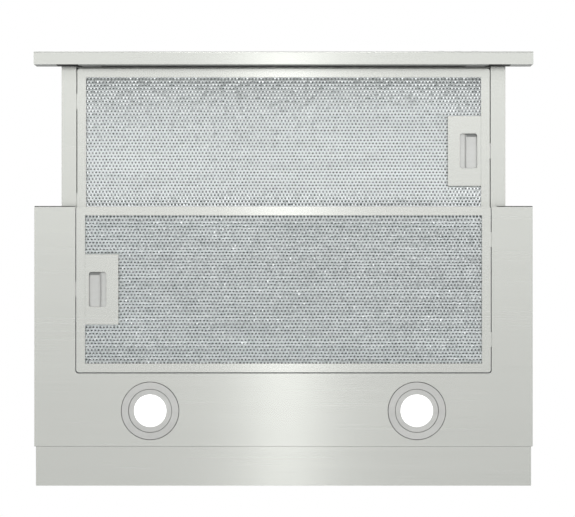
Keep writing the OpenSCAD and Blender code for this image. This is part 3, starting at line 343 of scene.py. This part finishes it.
def finish_node(name):
    """Gives a CAD node its material and breaks its sharp edges."""
    shown = nodes[name]
    look = slot_of[name]
    for slot in shown.material_slots:
        slot.material = looks[OWN_LOOK.get(name, look)]
    if look in EDGE_BREAK:
        weld = shown.modifiers.new("weld", "WELD")
        weld.merge_threshold = WELD_DISTANCE
        bevel = shown.modifiers.new("edge_break", "BEVEL")
        bevel.width = EDGE_BREAK[look] * MM
        bevel.segments = 2
        bevel.limit_method = "ANGLE"
        bevel.angle_limit = EDGE_ANGLE
        bevel.harden_normals = True


for node_name in nodes:
    finish_node(node_name)


# Filter pads: two expanded sheets over a core painted dark as the shade on the deeper sheets. Bonds join
# the strands where the net's cells meet.

CELL_ACROSS = 4.15 * MM
CELL_ALONG = 7.8 * MM
NET_WANDER = 0.12 * MM
SPARE_CELLS = 4

STRAND_W = 1.85 * MM
STRAND_T = 0.32 * MM
SHORTEST_STRAND = 0.3 * MM
CUT_STEPS = 10

BOND_ACROSS = 1.5 * MM
BOND_ALONG = 2.7 * MM

# Tilts: the bonds' own spread, and shares of a sheet's tilt or spread
BOND_TILT_SPREAD = math.radians(9)
BOND_TILT_SHARE = 0.5
ROW_SPREAD_SHARE = 0.5
SECOND_TILT_SHARE = -0.7

# Places of the sheets and of the core behind the pad's front
FRONT_SHEET_RISE = 0.55 * MM
SECOND_SHEET_RISE = 1.7 * MM
SECOND_SHIFT = 1.1 * MM
CORE_RISE = 2.6 * MM


def net_points(width, depth, rng):
    """Junctions of a staggered diamond net, as rows of points round the origin."""
    columns = int(width / CELL_ACROSS) + SPARE_CELLS
    rows = int(depth / (CELL_ALONG / 2)) + SPARE_CELLS
    column, row = np.meshgrid(np.arange(columns), np.arange(rows))
    x = (column + 0.5 * (row % 2) - columns / 2) * CELL_ACROSS
    y = (row - rows / 2) * CELL_ALONG / 2
    points = np.stack([x, y, np.zeros_like(x)], axis=-1)
    return points + rng.normal(0.0, NET_WANDER, points.shape)


def strand_ends(points):
    """Both ends of every strand between the bonds of neighbouring junctions, as two arrays."""
    half_bond = np.array([0.0, BOND_ALONG / 2, 0.0])
    rows, columns = points.shape[:2]
    odd = (np.arange(rows - 1) % 2 == 1)[:, None]
    starts = []
    ends = []
    for side in (0, 1):
        target = np.clip(np.arange(columns)[None, :] + np.where(odd, side, side - 1), 0, columns - 1)
        upper = np.take_along_axis(points[1:], np.repeat(target[:, :, None], 3, axis=2), axis=1)
        lower = points[:-1]
        near = np.abs(upper[..., 0] - lower[..., 0]) < CELL_ACROSS
        starts.append(lower[near] + half_bond)
        ends.append(upper[near] - half_bond)
    return np.concatenate(starts), np.concatenate(ends)


def cut_to_field(start, end, allowed):
    """Shortens every strand to its allowed length and drops those wholly outside."""
    start_in = allowed(start)
    end_in = allowed(end)
    kept = start_in | end_in
    start, end, start_in, end_in = start[kept], end[kept], start_in[kept], end_in[kept]
    fixed = np.where(start_in[:, None], start, end)
    free = np.where(start_in[:, None], end, start)
    crossing = ~(start_in & end_in)
    low = np.zeros(len(fixed))
    high = np.ones(len(fixed))
    for _ in range(CUT_STEPS):
        middle = (low + high) / 2
        inside = allowed(fixed + (free - fixed) * middle[:, None])
        low = np.where(inside, middle, low)
        high = np.where(inside, high, middle)
    reach = np.where(crossing, low, 1.0)
    free = fixed + (free - fixed) * reach[:, None]
    long_enough = np.linalg.norm(free - fixed, axis=1) > SHORTEST_STRAND
    return fixed[long_enough], free[long_enough]


def strip_boxes(start, end, across, up, width, thickness):
    """Corner points of a thin box along every strip."""
    corners = []
    for point in (start, end):
        for side, face in ((-1, -1), (1, -1), (1, 1), (-1, 1)):
            corners.append(point + across * side * width / 2 + up * face * thickness / 2)
    return np.stack(corners, axis=1).reshape(-1, 3)


def tilted(along, tilt):
    """Directions across and out of strips that are tilted about their length."""
    up = np.array([0.0, 0.0, 1.0])
    across = np.cross(up, along)
    across /= np.linalg.norm(across, axis=1)[:, None]
    across *= np.where(across[:, 1] < 0, -1, 1)[:, None]
    cosine = np.cos(tilt)[:, None]
    sine = np.sin(tilt)[:, None]
    return cosine * across + sine * up, cosine * up - sine * across


def expanded_sheet(name, low, high, gap_low, gap_high, height, tilt, spread, shift, seed):
    """One expanded sheet that fills a rectangle except for the latch's place."""
    def allowed(point):
        """Whether each point lies on the pad and outside the latch's place."""
        in_pad = np.all((point[:, :2] > low[:2]) & (point[:, :2] < high[:2]), axis=1)
        in_gap = np.all((point[:, :2] > gap_low[:2]) & (point[:, :2] < gap_high[:2]), axis=1)
        return in_pad & ~in_gap

    rng = np.random.default_rng(seed)
    centre = np.array([(low[0] + high[0]) / 2, (low[1] + high[1]) / 2 + shift, height])
    points = net_points(high[0] - low[0], high[1] - low[1], rng) + centre
    start, end = cut_to_field(*strand_ends(points), allowed)
    along = (end - start) / np.linalg.norm(end - start, axis=1)[:, None]
    row = np.floor((start[:, 1] + end[:, 1]) / CELL_ALONG).astype(int)
    row_tilts = rng.normal(0.0, spread * ROW_SPREAD_SHARE, row.max() - row.min() + 1)[row - row.min()]
    strand_tilts = tilt + row_tilts + rng.normal(0.0, spread, len(start))
    strands = strip_boxes(start, end, *tilted(along, strand_tilts), STRAND_W, STRAND_T)
    junctions = points.reshape(-1, 3)
    for clear in ([BOND_ACROSS, 0, 0], [0, BOND_ALONG / 2, 0]):
        junctions = junctions[allowed(junctions + clear) & allowed(junctions - clear)]
    sideways = np.tile([1.0, 0.0, 0.0], (len(junctions), 1))
    half_across = sideways * BOND_ACROSS / 2
    bond_tilts = rng.normal(0.0, BOND_TILT_SPREAD, len(junctions)) + tilt * BOND_TILT_SHARE
    bond_frame = tilted(sideways, bond_tilts)
    bonds = strip_boxes(junctions - half_across, junctions + half_across, *bond_frame, BOND_ALONG, STRAND_T)
    vertices = np.concatenate([strands, bonds])
    sides = np.array([[0, 1, 5, 4], [1, 2, 6, 5], [2, 3, 7, 6], [3, 0, 4, 7], [3, 2, 1, 0], [4, 5, 6, 7]])
    faces = (np.arange(len(vertices) // 8)[:, None, None] * 8 + sides[None]).reshape(-1, 4)
    mesh = bpy.data.meshes.new(name)
    mesh.from_pydata(vertices.tolist(), [], faces.tolist())
    mesh.validate()
    made = bpy.data.objects.new(name, mesh)
    bpy.context.collection.objects.link(made)
    return made


def pad_core(name, node, front, look):
    """The middle of the pad, painted dark as shade: the CAD pad's outline, set back from its front."""
    made = nodes[node].copy()
    made.data = nodes[node].data.copy()
    made.name = name
    made.parent = None
    bpy.context.collection.objects.link(made)
    for vertex in made.data.vertices:
        vertex.co.z = max(vertex.co.z, front)
    made.data.materials.clear()
    made.data.materials.append(look)
    return made


def core_shade_look():
    """Deeper sheets of the pad as a mottled net, painted dark for the shade that falls on them."""
    made, tree, shader = new_material("pad_core", metallic=0.6, roughness=0.6)
    place = add_node(tree, "ShaderNodeTexCoord")
    cells = add_node(tree, "ShaderNodeTexVoronoi", {"Scale": 420.0, "Randomness": 0.7}, feature="F1")
    tree.links.new(place.outputs["Object"], cells.inputs["Vector"])
    depth = cells.outputs["Distance"]
    # Painted shade: the deeper sheets are coloured dark and mottled in place of the shade they lie in.
    painted_shade = two_tone(tree, depth, (0.42, 0.44, 0.45, 1), (0.10, 0.106, 0.112, 1), low=0.1, high=0.6)
    tree.links.new(painted_shade, shader.inputs["Base Color"])
    bumped(tree, shader, depth, distance=0.0004, strength=0.6)
    return made


CORE_SHADE = core_shade_look()


def dress_pad(pad_node, latch_node, body, tilt, spread, seed):
    """Replaces a filter's plain pad by two expanded sheets and a core.

    The tilt is in degrees and turns the lower faces of the front sheet's strands toward +Y where it is
    positive. The spread, in degrees too, is how far single strands depart from it.
    The second sheet's strands lean the other way.
    """
    low, high = (np.array(corner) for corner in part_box(pad_node))
    # The sheets leave room for the latch's housing and for its slide, which reaches past it
    latch_boxes = [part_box(latch_node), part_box(latch_node.replace("_housing", "_slide"))]
    gap_low = np.min([box[0] for box in latch_boxes], axis=0)
    gap_high = np.max([box[1] for box in latch_boxes], axis=0)
    field = (low, high, gap_low, gap_high)
    front_z = low[2] + FRONT_SHEET_RISE
    second_z = low[2] + SECOND_SHEET_RISE
    front_tilt = math.radians(tilt)
    second_tilt = math.radians(SECOND_TILT_SHARE * tilt)
    spread_angle = math.radians(spread)
    label = pad_node.replace("_mesh", "")
    front = expanded_sheet(label + "_front_sheet", *field, front_z, front_tilt, spread_angle, 0.0, seed)
    second = expanded_sheet(label + "_second_sheet", *field, second_z, second_tilt, spread_angle,
                            SECOND_SHIFT, seed + 1)
    core = pad_core(label + "_pad_core", pad_node, low[2] + CORE_RISE, CORE_SHADE)
    for piece in (front, second, core):
        if not piece.data.materials:
            piece.data.materials.append(looks["filter_mesh"])
        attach(piece, body)
        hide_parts(pad_node)


dress_pad("drawer_filter_mesh", "drawer_latch_housing", "drawer", tilt=-34, spread=1.5, seed=11)
dress_pad("body_filter_mesh", "body_latch_housing", "hood", tilt=40, spread=5, seed=23)


# Pieces swept from a small outline

SEAT_GAP = 0.02 * MM


def solid_piece(name, vertices, faces, slot, body):
    """A new piece from its points and faces, which rides a body."""
    mesh = bpy.data.meshes.new(name)
    mesh.from_pydata(vertices, [], faces)
    mesh.validate()
    made = bpy.data.objects.new(name, mesh)
    made.data.materials.append(looks[slot])
    bpy.context.collection.objects.link(made)
    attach(made, body)
    return made


def swept(name, outline, places, slot, body, closed=False):
    """A piece swept along places, each of which maps a point (u, v) of the outline to space."""
    count = len(outline)
    vertices = [place(u, v) for place in places for u, v in outline]
    faces = []
    last = len(places) if closed else len(places) - 1
    for step in range(last):
        here = step * count
        there = (step + 1) % len(places) * count
        for index in range(count):
            after = (index + 1) % count
            faces.append((here + index, here + after, there + after, there + index))
    if not closed:
        faces.append(tuple(range(count - 1, -1, -1)))
        faces.append(tuple(range((len(places) - 1) * count, len(places) * count)))
    return solid_piece(name, vertices, faces, slot, body)


def rounded_outline(width, height, radius, steps=4):
    """Outline of a rectangle with round corners, its lower left corner at the origin."""
    outline = []
    for turn, (u, v) in enumerate(((width - radius, height - radius), (radius, height - radius),
                                   (radius, radius), (width - radius, radius))):
        for step in range(steps + 1):
            angle = math.radians(90 * turn + 90 * step / steps)
            outline.append((u + radius * math.cos(angle), v + radius * math.sin(angle)))
    return outline


def along_x(x, y, z):
    """Place of an outline square to X."""
    return lambda u, v: (x, y + u, z + v)


def straight_run(x0, x1, y, z, count):
    """Evenly spaced places of an outline square to X."""
    return [along_x(x, y, z) for x in np.linspace(x0, x1, count)]


def round_lamp(x, y, z, radius, angle):
    """Place of an outline at an angle round a lamp, u outward and v up."""
    return lambda u, v: (x + (radius + u) * math.cos(angle), y + (radius + u) * math.sin(angle), z + v)


# Thin black seals: along the panel's front edges and its rear join, round each lamp and round each lens;
# their black is also painted shade for the lines in these joints and grooves

PANEL_SIDE_CLEAR = 0.4 * MM
FILTER_CLEAR = 1.2 * MM
SEAL_W = 0.85 * MM
SEAL_T = 0.95 * MM
SEAL_ROUND = 0.2 * MM
SPACER_SEAL_W = 0.22 * MM
SPACER_SEAL_T = 0.2 * MM
SPACER_SEAL_DROP = 0.15 * MM
SPACER_SEAL_ROUND = 0.06 * MM
RING_W = 0.7 * MM
RING_T = 0.45 * MM
RING_INSET = 0.85 * MM
RING_PROUD = 0.03 * MM
RING_ROUND = 0.12 * MM
RING_STEPS = 96
LENS_SEAL_W = 0.18 * MM
LENS_SEAL_T = 0.4 * MM
LENS_SEAL_RISE = 0.75 * MM
LENS_SEAL_OFFSET = 3.55 * MM
LENS_SEAL_ROUND = 0.1 * MM


def add_seals_and_shade_lines():
    """The panel's seals, the bead at the spacer, and two rings at each lamp, whose black is also painted
    shade.
    """
    filter_low, filter_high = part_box("body_filter_frame")
    spans = {
        "left_panel_seal": (housing_low[0] + PANEL_SIDE_CLEAR, filter_low[0] - FILTER_CLEAR),
        "right_panel_seal": (filter_high[0] + FILTER_CLEAR, housing_high[0] - PANEL_SIDE_CLEAR),
    }
    outline = rounded_outline(SEAL_W, SEAL_T, SEAL_ROUND)
    for name, (x0, x1) in spans.items():
        places = straight_run(x0, x1, housing_low[1], underside + SEAT_GAP, count=12)
        swept(name, outline, places, "black_rubber", "hood")
    spacer_low, spacer_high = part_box("rear_spacer")
    bead = rounded_outline(SPACER_SEAL_W, SPACER_SEAL_T, SPACER_SEAL_ROUND, steps=3)
    join_y = spacer_low[1] - SPACER_SEAL_W / 2
    places = straight_run(spacer_low[0], spacer_high[0], join_y, underside - SPACER_SEAL_DROP, count=24)
    swept("rear_spacer_seal", bead, places, "black_rubber", "hood")
    ring = rounded_outline(RING_W, RING_T, RING_ROUND, steps=3)
    thin_ring = rounded_outline(LENS_SEAL_W, LENS_SEAL_T, LENS_SEAL_ROUND, steps=3)
    turns = [math.tau * step / RING_STEPS for step in range(RING_STEPS)]
    for side in ("left", "right"):
        low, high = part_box(side + "_lamp_bezel")
        x = (low[0] + high[0]) / 2
        y = (low[1] + high[1]) / 2
        radius = (high[0] - low[0]) / 2
        places = [round_lamp(x, y, low[2] - RING_PROUD, radius - RING_INSET, turn) for turn in turns]
        swept(side + "_lamp_seal", ring, places, "black_rubber", "hood", closed=True)
        lens_low, lens_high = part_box(side + "_lamp_lens")
        radius = (lens_high[0] - lens_low[0]) / 2 + LENS_SEAL_OFFSET
        places = [round_lamp(x, y, underside + LENS_SEAL_RISE, radius, turn) for turn in turns]
        swept(side + "_lens_seal", thin_ring, places, "black_rubber", "hood", closed=True)


add_seals_and_shade_lines()


# Latch slides: a dark pad at the front end of each finger slot, as painted shadow where the slot's front
# wall shades the slide

PAD_L = 3.2 * MM
PAD_T = 1.15 * MM
PAD_FRONT = 1.7 * MM
PAD_SIDE = 0.5 * MM
PAD_SINK = 0.15 * MM
PAD_ROUND = 0.35 * MM


def add_slide_shadow_pads():
    """A dark pad on each latch slide as painted shadow, placed by the finger slot's opening."""
    outline = rounded_outline(PAD_L, PAD_T, PAD_ROUND)
    for opening in frame["record"]["physics"]["openings"]:
        if not opening["name"].endswith("_finger_slot"):
            continue
        side = opening["name"].replace("_finger_slot", "")
        low, high = opening["box_m"]
        y = low[1] - PAD_FRONT
        z = high[2] + PAD_SINK - PAD_T
        places = straight_run(low[0] - PAD_SIDE, high[0] + PAD_SIDE, y, z, count=8)
        # Painted shadow: the dark pad lies where the slot's front wall casts its shade.
        swept(side + "_slide_pad", outline, places, "carrier_grey", side + "_latch")


add_slide_shadow_pads()


# Latch springs: a folded strip each

SPRING_FOLDS = 6
SPRING_T = 0.4 * MM
SPRING_ROUND = 0.1 * MM
SPRING_STEPS = 12


def across_path(x, y, z, slope_x, slope_y):
    """Place of an outline square to a flat path: u to the path's right and v up."""
    length = math.hypot(slope_x, slope_y)
    return lambda u, v: (x + u * slope_y / length, y - u * slope_x / length, z + v)


def folded_path(low, high):
    """Places along a strip folded to and fro in Y as it runs from the low to the high end in X."""
    pitch = (high[0] - low[0]) / SPRING_FOLDS
    mid_y = (low[1] + high[1]) / 2
    reach = (high[1] - low[1] - SPRING_T) / 2
    places = []
    for step in range(SPRING_FOLDS * SPRING_STEPS + 1):
        turn = math.pi * step / SPRING_STEPS
        x = low[0] + pitch * step / SPRING_STEPS
        y = mid_y - reach * math.cos(turn)
        places.append(across_path(x, y, low[2], pitch / math.pi, reach * math.sin(turn)))
    return places


def add_springs():
    """A strip in place of each latch's spring."""
    for joint in frame["record"]["behaviour"]["joints"]:
        if not joint["name"].endswith("_latch_pull"):
            continue
        node = joint["name"].replace("_pull", "_spring")
        low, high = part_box(node)
        section = rounded_outline(SPRING_T, high[2] - low[2], SPRING_ROUND, steps=2)
        outline = [(u - SPRING_T / 2, v) for u, v in section]
        name = joint["name"].replace("_pull", "_strip_spring")
        spring = swept(name, outline, folded_path(low, high), "screw_steel", joint["parent"])
        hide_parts(node)
        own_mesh(spring)


add_springs()


# The fascia's hem: a folded strip on the shell's lower sheet, behind it and between the closing buffers

SHELL_SHEET = 1.0 * MM
BUFFER_W = 26.0 * MM
HEM_CLEAR = 0.5 * MM
HEM_FOOT = 1.9 * MM
HEM_DEPTH = 1.3 * MM
HEM_T = 1.2 * MM
HEM_ROUND = 0.4 * MM


def add_hem():
    """The hem, from one closing buffer to the other."""
    shell_low, shell_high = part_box("fascia_shell")
    half_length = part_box("closing_buffers")[1][0] - BUFFER_W - HEM_CLEAR
    foot_z = shell_low[2] + SHELL_SHEET + SEAT_GAP
    outline = rounded_outline(HEM_FOOT + HEM_DEPTH, HEM_T, HEM_ROUND)
    places = straight_run(-half_length, half_length, shell_high[1] - HEM_FOOT, foot_z, count=30)
    swept("fascia_hem", outline, places, "carrier_grey", "drawer")


add_hem()


# Light: a soft level from below and above, and a narrow lamp whose image runs down the steel

def area_lamp(name, place, target, size, power):
    """A soft rectangular lamp aimed at a point, hidden from the camera."""
    data = bpy.data.lights.new(name, "AREA")
    data.shape = "RECTANGLE"
    data.size, data.size_y = size
    data.energy = power
    made = bpy.data.objects.new(name, data)
    made.location = place
    aim = Vector(target) - Vector(place)
    made.rotation_euler = aim.to_track_quat("-Z", "Y").to_euler()
    made.visible_camera = False
    bpy.context.collection.objects.link(made)


underside_middle = (0.0, housing_centre_y, underside)
hood_middle = (0.0, 0.0, -0.1)
area_lamp("streak", (0.0, -0.5, -2.9), (0.0, -0.4, 0.0), size=(0.10, 2.6), power=1.95)
area_lamp("front_wide", (0.0, -0.9, -3.4), underside_middle, size=(5.0, 1.0), power=23.5)
area_lamp("front_key", (0.0, -3.2, -3.0), underside_middle, size=(3.0, 0.8), power=20)
area_lamp("top_front", (-1.4, -2.0, 2.2), hood_middle, size=(1.6, 1.6), power=14)
area_lamp("top_rear", (1.6, 2.0, 1.8), hood_middle, size=(1.6, 1.6), power=12)


# World: even grey light, seen as white by the camera, by metal and by glass

WHITE = (1.0, 1.0, 1.0, 1.0)
WORLD_LEVEL = 0.3


def any_ray(tree, *kinds):
    """1 on rays of any of these kinds, else 0."""
    ray = add_node(tree, "ShaderNodeLightPath")
    found = ray.outputs[kinds[0]]
    for kind in kinds[1:]:
        either = add_node(tree, "ShaderNodeMath", operation="MAXIMUM")
        tree.links.new(found, either.inputs[0])
        tree.links.new(ray.outputs[kind], either.inputs[1])
        found = either.outputs["Value"]
    return found


def mixed_shaders(tree, factor, first, second):
    """Two shaders mixed by a factor."""
    mix = add_node(tree, "ShaderNodeMixShader")
    tree.links.new(factor, mix.inputs[0])
    tree.links.new(first, mix.inputs[1])
    tree.links.new(second, mix.inputs[2])
    return mix.outputs["Shader"]


def set_world():
    """The world's light, and the white that is seen in its place."""
    world = bpy.data.worlds.new("studio")
    world.use_nodes = True
    tree = world.node_tree
    background = tree.nodes["Background"]
    background.inputs["Color"].default_value = WHITE
    background.inputs["Strength"].default_value = WORLD_LEVEL
    white = add_node(tree, "ShaderNodeBackground", {"Color": WHITE, "Strength": 1.0})
    seen = any_ray(tree, "Is Camera Ray", "Is Glossy Ray", "Is Transmission Ray")
    shown = mixed_shaders(tree, seen, background.outputs["Background"], white.outputs["Background"])
    tree.links.new(shown, tree.nodes["World Output"].inputs["Surface"])
    bpy.context.scene.world = world


set_world()


# Floor: plain and pale, far below the hood and below the camera, and white in metal and glass

FLOOR_DROP = 4.2
FLOOR_HALF = 40.0

# Light that only the camera sees on the floor, over what the lamps give it
FLOOR_LIFT = 0.62


def floor_look():
    """Matt pale floor with faint speckles."""
    made, tree, shader = new_material("floor", metallic=0.0, roughness=0.9)
    shader.inputs["Specular IOR Level"].default_value = 0.0
    speckle = stretched_noise(tree, (3.0, 3.0, 3.0))
    pale = two_tone(tree, speckle, (0.86, 0.86, 0.86, 1), (0.9, 0.9, 0.9, 1))
    tree.links.new(pale, shader.inputs["Base Color"])
    lift = add_node(tree, "ShaderNodeMath", {1: FLOOR_LIFT}, operation="MULTIPLY")
    glow = add_node(tree, "ShaderNodeEmission", {"Color": WHITE})
    lifted = add_node(tree, "ShaderNodeAddShader")
    tree.links.new(any_ray(tree, "Is Camera Ray"), lift.inputs[0])
    tree.links.new(lift.outputs["Value"], glow.inputs["Strength"])
    tree.links.new(shader.outputs["BSDF"], lifted.inputs[0])
    tree.links.new(glow.outputs["Emission"], lifted.inputs[1])
    white = add_node(tree, "ShaderNodeEmission", {"Color": WHITE, "Strength": 1.0})
    seen = any_ray(tree, "Is Glossy Ray", "Is Transmission Ray")
    shown = mixed_shaders(tree, seen, lifted.outputs["Shader"], white.outputs["Emission"])
    tree.links.new(shown, tree.nodes["Material Output"].inputs["Surface"])
    return made


def add_floor():
    """A large square below the hood."""
    half = FLOOR_HALF
    corners = [(-half, -half, 0), (half, -half, 0), (half, half, 0), (-half, half, 0)]
    mesh = bpy.data.meshes.new("floor")
    mesh.from_pydata(corners, [], [(0, 1, 2, 3)])
    mesh.materials.append(floor_look())
    floor = bpy.data.objects.new("floor", mesh)
    floor.location = (0, 0, -FLOOR_DROP)
    bpy.context.collection.objects.link(floor)


add_floor()

bpy.context.scene.view_settings.view_transform = "Standard"
